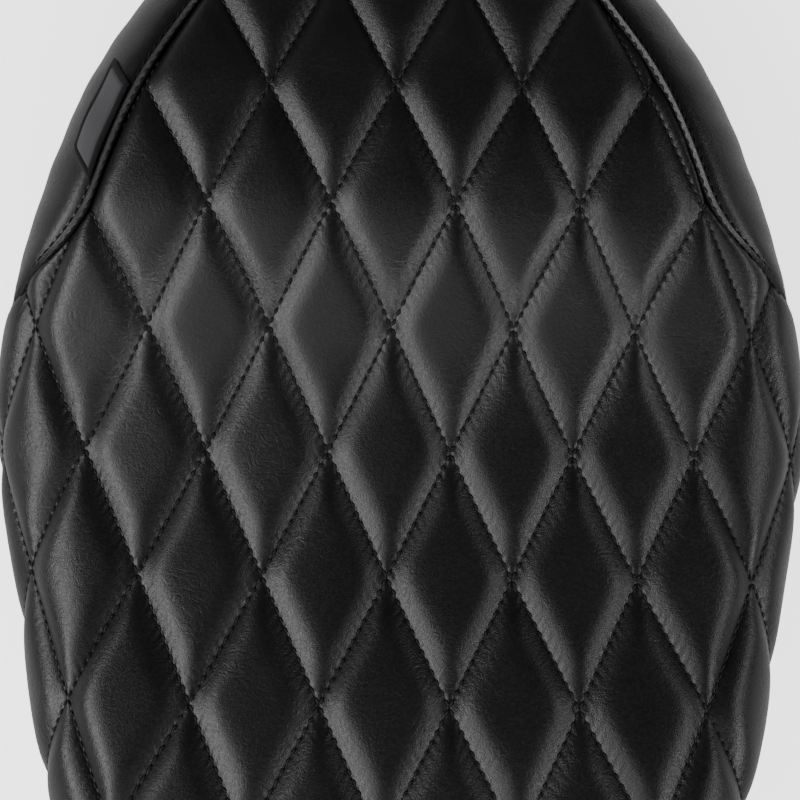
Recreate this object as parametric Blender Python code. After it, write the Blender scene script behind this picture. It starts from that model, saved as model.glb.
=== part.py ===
"""A solo motorcycle seat: a diamond-quilted cover and two plain nose panels over backing foam and
moulded foam, on a pressed steel pan with its edge strip, brackets, rubber bumpers and fasteners.

Metres, +Z up, +Y towards the nose. The origin is on the floor, under the middle of the object.
Every layer is worked out from one skin, which is a crowned, hollowed top that rolls over a rounded
shoulder, down a side wall and under the rim of the pan.
"""

import math

import bmesh
import bpy
import numpy as np

# ---- The seat's outer shape ------------------------------------------------------------------
HALF_WIDTH = 0.1585  # the widest half, at the rider's hips
FRONT_LENGTH = 0.262  # from the hips to the nose
REAR_LENGTH = 0.214  # from the hips to the tail
HOLLOW_HEIGHT = 0.078  # top of the seat at its lowest, above the floor
REAR_RISE_AHEAD = 0.030  # the rise to the tail starts this far ahead of the hips
FRONT_RISE_AHEAD = 0.000  # and the rise to the nose here
REAR_RISE = 0.040  # the tail's top above the hollow
REAR_RUN = 0.270  # the length over which it rises
FRONT_RISE = 0.012
FRONT_RUN = 0.095
NOSE_DROP = 0.030
NOSE_RUN = 0.202  # the nose drops over this last stretch
CROWN = 0.0085  # how far the top falls from its middle to the widest half width
SHOULDER_RADIUS = 0.031
TUCK = math.radians(8)  # the side walls lean in towards their foot
EDGE_CLEAR = 0.003  # the cover's lowest edge above the floor
TAIL_LIFT = 0.009  # the lower edge rises this much over the mudguard at the tail
TAIL_LIFT_RUN = 0.130
NOSE_LIFT = 0.008  # and this much over the frame at the nose
NOSE_LIFT_RUN = 0.115

# The widest line seen from above, right half, nose to tail: (share of the front or rear length
# along, share of the half width across).
HALF_OUTLINE = (
    (1.000, 0.000),
    (0.970, 0.245),
    (0.890, 0.400),
    (0.783, 0.512),
    (0.660, 0.637),
    (0.547, 0.752),
    (0.369, 0.869),
    (0.192, 0.957),
    (0.000, 1.000),
    (-0.308, 0.930),
    (-0.603, 0.848),
    (-0.830, 0.705),
    (-0.955, 0.450),
    (-1.000, 0.000),
)

# ---- Layers, from the outside in ---------------------------------------------------------------
GAP = 0.0003  # between pieces that rest on each other
COVER = 0.0014  # coated fabric
BACKING = 0.0060  # foam sewn to the back of the cover
BACKING_SHORT = 0.0045  # the backing stops this much above the foot of the wall
GLUE_LINE = 0.0012  # between the backing and the moulded foam
HEM_CURL = 0.0040  # outer radius of the cover's turn under the rim
HEM = 0.0190  # width of the hem under the rim

# ---- The seam between the quilted panel and the nose panels -------------------------------------
SEAM_DOWN = 0.0088  # the seam's distance over the shoulder beside the nose
SEAM_LEAVES = 0.100  # ahead of the hips, where it starts down the side
SEAM_ENDS = -0.036  # and where it meets the hem
SEAM_JOINT = 0.0005  # the joint's width
SEAM_AT_HEM = 0.93  # past this share of the way down, the quilted panel goes right to the hem

# ---- The label sewn into the left seam ----------------------------------------------------------
LABEL_LENGTH = 0.039
LABEL_WIDTH = 0.0140
LABEL_THICKNESS = 0.0012
LABEL_MIDDLE = 0.108  # ahead of the hips
LABEL_LOW = 0.0008  # its sewn edge above the panel
LABEL_HIGH = 0.0022  # its free edge above the panel
LABEL_CELLS = 6

# ---- The pan and its edge strip ------------------------------------------------------------------
STEEL = 0.0015
PAN_EDGE_INSET = 0.0066  # the rim's edge inside the cover's foot
RIM = 0.0185
RAMP = 0.0170  # from the rim to the raised floor, beside the hips
FLOOR_HEIGHT = 0.0240  # underside of the raised floor above the ground
STRIP = 0.0010  # the rubber strip's wall
STRIP_LEG = 0.0045
FOAM_RELIEF = 0.0042  # the foam's step over the rim, for the rivets' tails
VENT_RADIUS = 0.0065
VENT_PLACES = (-0.095, -0.020, 0.060)  # from the hips, on the centre line

# ---- Brackets and hardware ------------------------------------------------------------------------
TAB_REACH = 0.028  # the tail tab beyond the tail
TAB_WIDTH = 0.038
TAB_STEEL = 0.0025
TAB_SLOT_RADIUS = 0.0038
TAB_SLOT_STRAIGHT = 0.0055
TAB_SLOT_FROM_END = 0.0130
TAB_UNDER_HEM = 0.0045  # between the tab and the hem at the tail
TONGUE_WIDTH = 0.044
TONGUE_STEEL = 0.0030
TONGUE_SHORT = 0.006  # the tongue ends this much behind the nose
TONGUE_FOOT = 0.0018  # underside of the tongue above the floor
PAD = 0.034  # length of a bracket's bolted pad
PAD_CLEAR = 0.012  # a pad's outer end inside the raised floor's end
PAD_SLOPE = 0.016  # length of a bracket's slanted run
BOLT_RADIUS = 0.0030
BOLT_HEAD_RADIUS = 0.0062
BOLT_HEAD = 0.0040
BOLT_SPARE = 0.0020  # thread showing past the nut
NUT = 0.0052
WASHER_RADIUS = 0.0078
WASHER = 0.0012
BOLT_SPACING = 0.022
BUMPER_RADIUS = 0.0125
BUMPER_FOOT_RADIUS = 0.01125
BUMPER_CHAMFER = 0.0015  # height of the slant round its foot
BUMPER_NECK = 0.0045
BUMPER_BULB = 0.0070
BUMPER_BULB_TIP = 0.0035
BUMPER_BULB_HEIGHT = 0.0065
BUMPER_BULB_SHOULDER = 0.0023  # height of the bulb's straight part
BUMPER_CLEAR = 0.0050  # from a bumper to the edge of the raised floor
BUMPER_PLACES = (0.57, 0.05, -0.76)  # shares of the raised floor's length ahead of or behind the hips
RIVETS = 12
RIVET_HEAD = 0.0034
RIVET_FACE = 0.0024  # radius of the head's flat face
RIVET_HEAD_HEIGHT = 0.0012
RIVET_SHANK = 0.0016
RIVET_TAIL = 0.0023
RIVET_TAIL_HEIGHT = 0.0018
RIVET_FROM_EDGE = 0.0095
HOLE_PLAY = 0.0005  # a hole is this much larger in radius than what goes through it

# ---- Mesh fineness ----------------------------------------------------------------------------------
ACROSS = 8  # cells across the inner grid; even
ALONG = 18
STATIONS = 2 * (ACROSS + ALONG)
ROUND = 12
PER_SPAN = 60  # fine points of the outline between two of its knots
TURN_WEIGHT = 0.7  # how much the stations gather where the outline turns
SEAM_WEIGHT = 0.5  # and beside the seam

HIP_Y = (REAR_LENGTH + TAB_REACH - FRONT_LENGTH) / 2  # puts the whole object's middle at y = 0
NOSE_Y = HIP_Y + FRONT_LENGTH
TAIL_Y = HIP_Y - REAR_LENGTH


# ==== Curves and heights ===========================================================================


def eased(t):
    """0 to 1 with no kink in its slope or curvature at either end."""
    t = np.clip(t, 0, 1)
    return t**3 * (10 - 15 * t + 6 * t**2)


def top_height(x, y):
    """The seat's top, carried on level with itself past the shoulder."""
    ahead = y - HIP_Y
    rear = REAR_RISE * eased((REAR_RISE_AHEAD - ahead) / REAR_RUN)
    front = FRONT_RISE * eased((ahead - FRONT_RISE_AHEAD) / FRONT_RUN)
    nose = NOSE_DROP * eased((ahead - FRONT_LENGTH + NOSE_RUN) / NOSE_RUN)
    return HOLLOW_HEIGHT + rear + front - nose - CROWN * (x / HALF_WIDTH) ** 2


def lower_edge(y):
    """The cover's lowest edge: level beside the rider, lifted at the tail and the nose."""
    ahead = y - HIP_Y
    tail = TAIL_LIFT * eased((TAIL_LIFT_RUN - REAR_LENGTH - ahead) / TAIL_LIFT_RUN)
    nose = NOSE_LIFT * eased((ahead - FRONT_LENGTH + NOSE_LIFT_RUN) / NOSE_LIFT_RUN)
    return EDGE_CLEAR + tail + nose


def closed_spline(knots, per_span):
    """A smooth closed curve through the knots: a periodic cubic spline on chord length."""
    knots = np.asarray(knots, float)
    count = len(knots)
    after = np.roll(knots, -1, axis=0)
    span = np.linalg.norm(after - knots, axis=1)
    before_span = np.roll(span, 1)
    slope = (after - knots) / span[:, None]
    system = np.zeros((count, count))
    row = np.arange(count)
    system[row, row] = 2 * (before_span + span)
    system[row, (row - 1) % count] = before_span
    system[row, (row + 1) % count] = span
    bend = np.linalg.solve(system, 6 * (slope - np.roll(slope, 1, axis=0)))
    next_bend = np.roll(bend, -1, axis=0)
    u = np.linspace(0, 1, per_span, endpoint=False)[None, :, None]
    h = span[:, None, None]
    a, b = (1 - u) * h, u * h
    points = (
        (bend[:, None] * a**3 + next_bend[:, None] * b**3) / (6 * h)
        + (knots[:, None] / h - bend[:, None] * h / 6) * a
        + (after[:, None] / h - next_bend[:, None] * h / 6) * b
    )
    return points.reshape(-1, 2)


def outline():
    """The widest line as stations: points and outward normals, anticlockwise from the tail's middle.

    The stations stand closer where the line turns more, and where the seam runs down the side."""
    right = [
        (across * HALF_WIDTH, HIP_Y + along * (FRONT_LENGTH if along > 0 else REAR_LENGTH))
        for along, across in HALF_OUTLINE[::-1]
    ]
    left = [(-x, y) for x, y in right[-2:0:-1]]
    fine = closed_spline(right + left, PER_SPAN)
    ring = np.vstack([fine, fine[:1]])
    step = np.diff(ring, axis=0)
    heading = np.unwrap(np.arctan2(step[:, 1], step[:, 0]))
    length = np.concatenate([[0], np.cumsum(np.linalg.norm(step, axis=1))])
    turn = np.abs(np.diff(np.concatenate([heading, heading[:1] + 2 * math.pi])))
    turned = np.concatenate([[0], np.cumsum(turn)])
    ahead = (ring[:-1, 1] + ring[1:, 1]) / 2 - HIP_Y
    beside_seam = np.where((ahead > SEAM_ENDS) & (ahead < SEAM_LEAVES), np.diff(length), 0)
    beside = np.concatenate([[0], np.cumsum(beside_seam)])
    measure = length / length[-1] + TURN_WEIGHT * turned / turned[-1]
    measure += SEAM_WEIGHT * beside / beside[-1]
    places = np.linspace(0, measure[-1], STATIONS, endpoint=False)
    points = np.stack([np.interp(places, measure, ring[:, i]) for i in (0, 1)], axis=1)
    tangent = np.roll(fine, -1, axis=0) - np.roll(fine, 1, axis=0)
    tangent = np.vstack([tangent, tangent[:1]])
    tangent = np.stack([np.interp(places, measure, tangent[:, i]) for i in (0, 1)], axis=1)
    tangent /= np.linalg.norm(tangent, axis=1)[:, None]
    return points, np.stack([tangent[:, 1], -tangent[:, 0]], axis=1)


EDGE, OUTWARD = outline()
ROLL_LINE = EDGE - OUTWARD * SHOULDER_RADIUS  # where the top starts to roll over
STEEPEST = math.pi / 2 + TUCK
EDGE_TOP = top_height(EDGE[:, 0], EDGE[:, 1])
FOOT = lower_edge(EDGE[:, 1])
ROLL_LENGTH = SHOULDER_RADIUS * STEEPEST
ROLL_DROP = SHOULDER_RADIUS * (1 - math.cos(STEEPEST))
CURL_DROP = HEM_CURL * (1 + math.cos(STEEPEST))
WALL = (EDGE_TOP - FOOT - ROLL_DROP - CURL_DROP) / math.sin(STEEPEST)
WALL_END = ROLL_LENGTH + WALL  # distance from the roll line to the foot of the wall
CURL_LENGTH = HEM_CURL * (math.pi - STEEPEST)
SKIN_END = WALL_END + CURL_LENGTH + HEM
WALL_FOOT_REACH = SHOULDER_RADIUS * math.sin(STEEPEST) + WALL * math.cos(STEEPEST)
BACKING_END = WALL_END - BACKING_SHORT
BACKING_DEPTH = COVER + GAP
FOAM_DEPTH = BACKING_DEPTH + BACKING + GLUE_LINE
RIM_EDGE = WALL_FOOT_REACH - PAN_EDGE_INSET  # reach of the pan's edge
RIM_INNER = np.maximum(RIM_EDGE - RIM, HOLE_PLAY)
RIM_UNDER = FOOT + COVER + STRIP + 2 * GAP
RIM_TOP = RIM_UNDER + STEEL


def skin(distance, depth=0.0):
    """A point for every station, that distance over the roll line and that depth under the skin."""
    distance = np.broadcast_to(distance, (STATIONS,)).astype(float)
    rolled = np.clip(distance / SHOULDER_RADIUS, 0, STEEPEST)
    down = np.clip(distance - ROLL_LENGTH, 0, WALL)
    curled = np.clip((distance - WALL_END) / HEM_CURL, 0, math.pi - STEEPEST)
    under = np.clip(distance - WALL_END - CURL_LENGTH, 0, HEM)
    angle = rolled + curled  # 0 is level and outwards, half a turn is level and inwards
    reach = SHOULDER_RADIUS * np.sin(rolled) + down * math.cos(STEEPEST)
    reach += HEM_CURL * (np.sin(STEEPEST + curled) - math.sin(STEEPEST)) - under
    drop = SHOULDER_RADIUS * (1 - np.cos(rolled)) + down * math.sin(STEEPEST)
    drop += HEM_CURL * (math.cos(STEEPEST) - np.cos(STEEPEST + curled))
    over = SHOULDER_RADIUS * np.sin(np.minimum(rolled, math.pi / 2))
    base = ROLL_LINE + OUTWARD * over[:, None]
    height = top_height(base[:, 0], base[:, 1])
    place = ROLL_LINE + OUTWARD * reach[:, None]
    points = np.column_stack([place, height - drop])
    if depth == 0:
        return points
    slope_x, slope_y = top_slope(base[:, 0], base[:, 1])
    level = np.maximum(np.cos(angle), 0)
    out = slope_x * OUTWARD[:, 0] + slope_y * OUTWARD[:, 1]
    side = slope_y * OUTWARD[:, 0] - slope_x * OUTWARD[:, 1]
    down_skin = np.column_stack([OUTWARD * np.cos(angle)[:, None], out * level - np.sin(angle)])
    along_skin = np.column_stack([-OUTWARD[:, 1], OUTWARD[:, 0], side])
    normal = np.cross(down_skin, along_skin)
    normal /= np.linalg.norm(normal, axis=1)[:, None]
    return points - normal * depth


def top_slope(x, y):
    """The top's slope across and along, from heights a millimetre apart."""
    step = 0.0005
    across = top_height(x + step, y) - top_height(x - step, y)
    along = top_height(x, y + step) - top_height(x, y - step)
    return across / (2 * step), along / (2 * step)


def inner_grid(loop):
    """A Coons patch inside a loop of stations: (ACROSS + 1, ALONG + 1) points in plan."""
    right_tail = ACROSS // 2
    order = np.roll(np.arange(STATIONS), right_tail)
    tail = loop[order[: ACROSS + 1]]
    right = loop[order[ACROSS : ACROSS + ALONG + 1]]
    nose = loop[order[ACROSS + ALONG : 2 * ACROSS + ALONG + 1]][::-1]
    left = loop[np.append(order[2 * ACROSS + ALONG :], order[0])][::-1]
    u = np.linspace(0, 1, ACROSS + 1)[:, None, None]
    v = np.linspace(0, 1, ALONG + 1)[None, :, None]
    ruled = (1 - v) * tail[:, None] + v * nose[:, None] + (1 - u) * left[None] + u * right[None]
    corners = (1 - u) * (1 - v) * tail[0] + u * (1 - v) * tail[-1]
    corners = corners + (1 - u) * v * nose[0] + u * v * nose[-1]
    return ruled - corners


# ==== Building with meshes =========================================================================


def clear_scene():
    for thing in list(bpy.data.objects):
        bpy.data.objects.remove(thing)


def material(name, colour, roughness, metallic=0.0):
    made = bpy.data.materials.new(name)
    made.use_nodes = True
    shader = made.node_tree.nodes["Principled BSDF"]
    shader.inputs["Base Color"].default_value = (*colour, 1)
    shader.inputs["Roughness"].default_value = roughness
    shader.inputs["Metallic"].default_value = metallic
    return made


def add_object(name, points, faces, finish, location=(0, 0, 0)):
    """One closed body from its points and faces; a body with no finish is a cutter."""
    mesh = bpy.data.meshes.new(name)
    mesh.from_pydata([tuple(p) for p in points], [], [tuple(int(v) for v in f) for f in faces])
    solid = bmesh.new()
    solid.from_mesh(mesh)
    bmesh.ops.remove_doubles(solid, verts=solid.verts, dist=1e-6)
    bmesh.ops.recalc_face_normals(solid, faces=solid.faces)
    solid.to_mesh(mesh)
    solid.free()
    mesh.shade_smooth()
    mesh.set_sharp_from_angle(angle=math.radians(40))
    thing = bpy.data.objects.new(name, mesh)
    bpy.context.scene.collection.objects.link(thing)
    thing.location = location
    if finish is None:
        thing.hide_render = True
        thing.display_type = "WIRE"
    else:
        mesh.materials.append(finish)
    return thing


def cut(thing, cutter):
    made = thing.modifiers.new("cut_" + cutter.name, "BOOLEAN")
    made.object = cutter
    made.operation = "DIFFERENCE"
    made.solver = "EXACT"


def between(first, second, inwards=False):
    """Triangles between two closed rings of vertex numbers.

    Layers that lie on each other split their quads the same way: the diagonal always runs from the
    inner ring's station to the outer ring's next one."""
    first_next, second_next = np.roll(first, -1), np.roll(second, -1)
    if inwards:
        halves = ((first, second, first_next), (second, second_next, first_next))
    else:
        halves = ((first, second, second_next), (first, second_next, first_next))
    return np.concatenate([np.stack(half, axis=1) for half in halves]).tolist()


def grid_triangles(number):
    """Triangles over a grid of vertex numbers, each cell split from its first to its last corner."""
    a, b, c, d = number[:-1, :-1], number[1:, :-1], number[1:, 1:], number[:-1, 1:]
    halves = [np.stack(half, axis=-1).reshape(-1, 3) for half in ((a, b, c), (a, c, d))]
    return np.concatenate(halves)


def border_of(number):
    """The vertex numbers round a grid's border, anticlockwise from its first corner."""
    return np.concatenate([number[:-1, 0], number[-1, :-1], number[:0:-1, -1], number[0, :0:-1]])


def layered_solid(name, top, rings, bottom, finish, outward):
    """A body with a grid for its top, rings of stations round its side, and a grid underneath.

    The first so many rings, outward, lead out from the top; the others lead back in underneath."""
    number = np.arange(top.shape[0] * top.shape[1]).reshape(top.shape[:2])
    border = np.roll(border_of(number), -(ACROSS // 2))
    under = number.size
    cells = grid_triangles(number)
    faces = cells.tolist() + (cells[:, ::-1] + under).tolist()
    loops = [border] + [2 * under + np.arange(STATIONS) + i * STATIONS for i in range(len(rings))]
    for place, (first, second) in enumerate(zip(loops, loops[1:] + [border + under])):
        faces += between(first, second, inwards=place >= outward)
    points = np.vstack([top.reshape(-1, 3), bottom.reshape(-1, 3), *rings])
    return add_object(name, points, faces, finish)


def slab(name, outer, inner, finish):
    """A body between two matching grids of points, closed round all four sides."""
    number = np.arange(outer.shape[0] * outer.shape[1]).reshape(outer.shape[:2])
    border = border_of(number)
    cells = grid_triangles(number)
    faces = cells.tolist() + (cells[:, ::-1] + number.size).tolist()
    faces += between(border, border + number.size)
    return add_object(name, np.vstack([outer.reshape(-1, 3), inner.reshape(-1, 3)]), faces, finish)


def turned_points(profile, hexagons=()):
    """Rings turned about the upright axis from (radius, height) pairs.

    The rings whose numbers are in hexagons have flats: each second point is drawn in."""
    angle = np.arange(ROUND) * 2 * math.pi / ROUND
    rings = []
    for place, (radius, height) in enumerate(profile):
        drawn_in = math.cos(math.pi / 6) if place in hexagons else 1.0
        reach = np.where(np.arange(ROUND) % 2, radius * drawn_in, radius)
        rings.append(np.column_stack([reach * np.cos(angle), reach * np.sin(angle),
                                      np.full(ROUND, height)]))
    return np.vstack(rings)


def turned_body(name, profile, finish, location, hexagons=(), hollow=False):
    """A solid turned from its profile: capped at both ends, or a ring where it is hollow."""
    count = len(profile)
    loops = np.arange(count * ROUND).reshape(count, ROUND)
    faces = []
    for inner, outer in zip(loops, loops[1:]):
        faces += between(inner, outer)
    if hollow:
        faces += between(loops[-1], loops[0])
    else:
        faces += [loops[0].tolist(), loops[-1].tolist()]
    return add_object(name, turned_points(profile, hexagons), faces, finish, location)


def uprights(name, shapes):
    """A cutter made of upright prisms: (outline points, bottom, top) for each."""
    points, faces, start = [], [], 0
    for outline_points, bottom, top in shapes:
        count = len(outline_points)
        loop = start + np.arange(count)
        points += [(x, y, bottom) for x, y in outline_points] + [(x, y, top) for x, y in outline_points]
        faces += between(loop, loop + count) + [loop.tolist(), (loop + count).tolist()]
        start += 2 * count
    return add_object(name, points, faces, None)


def round_hole(x, y, radius, bottom, top):
    angle = np.arange(ROUND) * 2 * math.pi / ROUND
    return list(zip(x + radius * np.cos(angle), y + radius * np.sin(angle))), bottom, top


# ==== The cover, its backing and the foam ============================================================

# Rings of the skin: over the shoulder, down the wall, round the curl and along the hem.
MARKS = [ROLL_LENGTH * np.full(STATIONS, share) for share in (0.25, 0.5, 0.75, 1.0)]
COVER_MARKS = MARKS + [WALL_END, WALL_END + CURL_LENGTH / 2, WALL_END + CURL_LENGTH, SKIN_END]
BACKING_MARKS = MARKS + [BACKING_END]


def seam_line():
    """How far over the roll line the quilted panel reaches at each station.

    The last station before the hem takes the seam round the curl, so that neither panel cuts the
    corner under the rim."""
    ahead = EDGE[:, 1] - HIP_Y
    share = eased((SEAM_LEAVES - ahead) / (SEAM_LEAVES - SEAM_ENDS))
    share[share > SEAM_AT_HEM] = 1
    reach = SEAM_DOWN + (SKIN_END - SEAM_DOWN) * share
    short = np.flatnonzero(share < 1)
    for station in (short[0], short[-1]):
        reach[station] = WALL_END[station] + CURL_LENGTH
    return reach


SEAM = seam_line()


def top_grid(depth):
    """The top inside the roll line, as a grid of points at this depth under the skin."""
    plan = inner_grid(ROLL_LINE)
    slope_x, slope_y = top_slope(plan[..., 0], plan[..., 1])
    normal = np.stack([-slope_x, -slope_y, np.ones_like(slope_x)], axis=-1)
    normal /= np.linalg.norm(normal, axis=-1, keepdims=True)
    height = top_height(plan[..., 0], plan[..., 1])
    return np.concatenate([plan, height[..., None]], axis=-1) - depth * normal


def quilted_layer(name, marks, depth, thickness, finish):
    """A shell over the top that goes down the sides as far as the seam or the last mark."""
    distances = [np.minimum(mark, SEAM) for mark in marks]
    outer = [skin(distance, depth) for distance in distances]
    inner = [skin(distance, depth + thickness) for distance in distances]
    return layered_solid(
        name, top_grid(depth), outer + inner[::-1], top_grid(depth + thickness), finish,
        outward=len(outer),
    )


def nose_layer(name, side, marks, depth, thickness, finish, tapers):
    """A shell between the seam and the last mark, from the nose's middle back on one side.

    One that tapers runs to a point where the seam meets the hem; the other is cut off short."""
    start = np.minimum(SEAM + SEAM_JOINT, marks[-1])
    open_stations = np.flatnonzero(marks[-1] - start > SEAM_JOINT)
    nose = STATIONS // 2
    kept = np.arange(open_stations[0] - tapers, nose + 1)
    if side < 0:
        kept = np.arange(nose, open_stations[-1] + 1 + tapers)
    rows = [start] + [np.maximum(mark, start) for mark in marks]
    outer = np.stack([skin(row, depth)[kept] for row in rows])
    inner = np.stack([skin(row, depth + thickness)[kept] for row in rows])
    for grid in (outer, inner):
        grid[..., 0] = side * np.maximum(side * grid[..., 0], SEAM_JOINT / 2)
    return slab(name, outer, inner, finish)


def floor_loop():
    """The edge of the pan's raised floor in plan: the roll line, drawn in towards the hips."""
    middle = np.array([0, HIP_Y])
    drawn_in = 1 - RAMP / (HALF_WIDTH - SHOULDER_RADIUS)
    return middle + (ROLL_LINE - middle) * drawn_in


def level_grid(height):
    """A level grid of points inside the raised floor's edge."""
    plan = inner_grid(floor_loop())
    return np.concatenate([plan, np.full(plan.shape[:2] + (1,), height)], axis=-1)


def reached(reach, height):
    """A ring of points at this reach from the roll line and this height."""
    plan = ROLL_LINE + OUTWARD * np.broadcast_to(reach, (STATIONS,))[:, None]
    return np.column_stack([plan, np.broadcast_to(height, (STATIONS,))])


def make_soft_parts(fabric, plain, backing, foam, label):
    cover = quilted_layer("quilted_cover", COVER_MARKS, 0.0, COVER, fabric)
    quilted_layer("quilt_backing", BACKING_MARKS, BACKING_DEPTH, BACKING, backing)
    panels = [cover]
    for side, word in ((1, "right"), (-1, "left")):
        panel = f"nose_panel_{word}"
        panels.append(nose_layer(panel, side, COVER_MARKS, 0.0, COVER, plain, True))
        lining = f"nose_backing_{word}"
        nose_layer(lining, side, BACKING_MARKS, BACKING_DEPTH, BACKING, backing, False)
    sides = [skin(mark, FOAM_DEPTH) for mark in BACKING_MARKS]
    core = layered_solid(
        "foam_core",
        top_grid(FOAM_DEPTH),
        sides + [reached(RIM_INNER, RIM_TOP + FOAM_RELIEF)],
        level_grid(FLOOR_HEIGHT + STEEL + GAP),
        foam,
        outward=len(sides),
    )
    make_label(label)
    return panels, core


def make_label(finish):
    """A folded woven label whose sewn edge follows the left seam and whose free edge stands off."""
    left = np.arange(STATIONS // 2 + 1, STATIONS)
    ahead = EDGE[left, 1] - HIP_Y
    wanted = LABEL_MIDDLE + np.linspace(LABEL_LENGTH / 2, -LABEL_LENGTH / 2, LABEL_CELLS + 1)
    places = np.interp(wanted, ahead[::-1], left[::-1])
    outer, inner = [], []
    for share in (0.0, 0.5, 1.0):
        distance = SEAM + SEAM_JOINT + LABEL_WIDTH * share
        height = LABEL_LOW + (LABEL_HIGH - LABEL_LOW) * share
        outer.append(along_stations(skin(distance, -height - LABEL_THICKNESS), places))
        inner.append(along_stations(skin(distance, -height), places))
    slab("label", np.stack(outer), np.stack(inner), finish)


def along_stations(ring, places):
    """Points of a ring at fractional stations, on the straight lines between its own points."""
    return np.stack([np.interp(places, np.arange(STATIONS), ring[:, i]) for i in range(3)], axis=1)


# ==== The pan, its edge strip and what fastens to it ==================================================


def make_pan(steel, rubber):
    pan = layered_solid(
        "seat_pan",
        level_grid(FLOOR_HEIGHT + STEEL),
        [
            reached(RIM_INNER, RIM_TOP),
            reached(RIM_EDGE, RIM_TOP),
            reached(RIM_EDGE, RIM_UNDER),
            reached(RIM_INNER, RIM_UNDER),
        ],
        level_grid(FLOOR_HEIGHT),
        steel,
        outward=2,
    )
    near, far = RIM_EDGE + GAP, RIM_EDGE + GAP + STRIP
    leg = RIM_EDGE - STRIP_LEG
    low, high = RIM_UNDER - GAP, RIM_TOP + GAP
    corners = (
        (far, low - STRIP), (far, high + STRIP), (leg, high + STRIP), (leg, high),
        (near, high), (near, low), (leg, low), (leg, low - STRIP),
    )
    rings = np.stack([reached(reach, height) for reach, height in corners])
    loops = np.arange(rings.shape[0] * STATIONS).reshape(rings.shape[0], STATIONS)
    faces = []
    for inner, outer in zip(loops, np.roll(loops, -1, axis=0)):
        faces += between(inner, outer)
    add_object("pan_edge_strip", rings.reshape(-1, 3), faces, rubber)
    return pan


def bent_strip(name, path, width, thickness, finish):
    """A strip of steel bent along a path of (y, z) points on its top, thickness below it."""
    path = np.array(path)
    heading = np.diff(path, axis=0)
    heading /= np.linalg.norm(heading, axis=1)[:, None]
    below = np.column_stack([heading[:, 1], -heading[:, 0]]) * np.sign(heading[0, 0])
    first, last = np.vstack([below[:1], below]), np.vstack([below, below[-1:]])
    middle = first + last
    mitre = middle / (1 + np.sum(first * last, axis=1))[:, None]
    under = path + mitre * thickness
    sides = np.array([-width / 2, width / 2])

    def swept(line):
        return np.stack([np.column_stack([np.full(len(line), x), line]) for x in sides])

    return slab(name, swept(path), swept(under), finish)


def make_brackets(steel):
    pad_top = FLOOR_HEIGHT - GAP
    tail_foot = lower_edge(np.array(TAIL_Y))
    tab_top = tail_foot - TAB_UNDER_HEM
    floor_tail, floor_nose = floor_loop()[0, 1], floor_loop()[STATIONS // 2, 1]
    pad_end = floor_tail + PAD_CLEAR
    tab_end = TAIL_Y - TAB_REACH
    tab = bent_strip(
        "tail_tab",
        ((pad_end + PAD, pad_top), (pad_end, pad_top), (pad_end - PAD_SLOPE, tab_top), (tab_end, tab_top)),
        TAB_WIDTH, TAB_STEEL, steel,
    )
    turn = np.linspace(0, math.pi, ROUND // 2 + 1)
    half = TAB_SLOT_STRAIGHT / 2
    middle = tab_end + TAB_SLOT_FROM_END
    front = [(TAB_SLOT_RADIUS * math.cos(t), middle + half + TAB_SLOT_RADIUS * math.sin(t)) for t in turn]
    back = [(-x, 2 * middle - y) for x, y in front]
    slot = (front + back, tab_top - 3 * TAB_STEEL, tab_top + TAB_STEEL)
    tongue_end = NOSE_Y - TONGUE_SHORT
    slope_top = floor_nose - PAD_CLEAR
    level = slope_top + PAD_SLOPE
    tongue_top = TONGUE_FOOT + TONGUE_STEEL
    tongue = bent_strip(
        "nose_tongue",
        ((slope_top - PAD, pad_top), (slope_top, pad_top), (level, tongue_top), (tongue_end, tongue_top)),
        TONGUE_WIDTH, TONGUE_STEEL, steel,
    )
    places = []
    for word, y, thickness in (
        ("tail", pad_end + PAD / 2, TAB_STEEL),
        ("nose", slope_top - PAD / 2, TONGUE_STEEL),
    ):
        for side in (-1, 1):
            places.append((word, side, side * BOLT_SPACING / 2, y, thickness))
    for bracket, word, more in ((tab, "tail", [slot]), (tongue, "nose", [])):
        holes = [
            round_hole(x, y, BOLT_RADIUS + HOLE_PLAY, 0, FLOOR_HEIGHT + STEEL)
            for name, _, x, y, _ in places
            if name == word
        ]
        cut(bracket, uprights(word + "_bracket_holes", holes + more))
    return places


def make_bolts(places, steel):
    """Bolts drop through the pan from above; a washer and a nut hold each bracket under it."""
    pan_top = FLOOR_HEIGHT + STEEL
    for word, side, x, y, thickness in places:
        mark = word + ("_left" if side < 0 else "_right")
        washer_top = FLOOR_HEIGHT - thickness - 2 * GAP
        nut_top = washer_top - WASHER - GAP
        foot = nut_top - NUT - BOLT_SPARE
        head = pan_top + GAP
        turned_body(
            "bolt_" + mark,
            ((BOLT_RADIUS, foot), (BOLT_RADIUS, head), (BOLT_HEAD_RADIUS, head),
             (BOLT_HEAD_RADIUS, head + BOLT_HEAD)),
            steel, (x, y, 0), hexagons=(2, 3),
        )
        turned_body(
            "washer_" + mark,
            ((BOLT_RADIUS + GAP, washer_top), (WASHER_RADIUS, washer_top),
             (WASHER_RADIUS, washer_top - WASHER), (BOLT_RADIUS + GAP, washer_top - WASHER)),
            steel, (x, y, 0), hollow=True,
        )
        turned_body(
            "nut_" + mark,
            ((BOLT_RADIUS + GAP, nut_top), (BOLT_HEAD_RADIUS, nut_top),
             (BOLT_HEAD_RADIUS, nut_top - NUT), (BOLT_RADIUS + GAP, nut_top - NUT)),
            steel, (x, y, 0), hexagons=(1, 2), hollow=True,
        )


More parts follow.
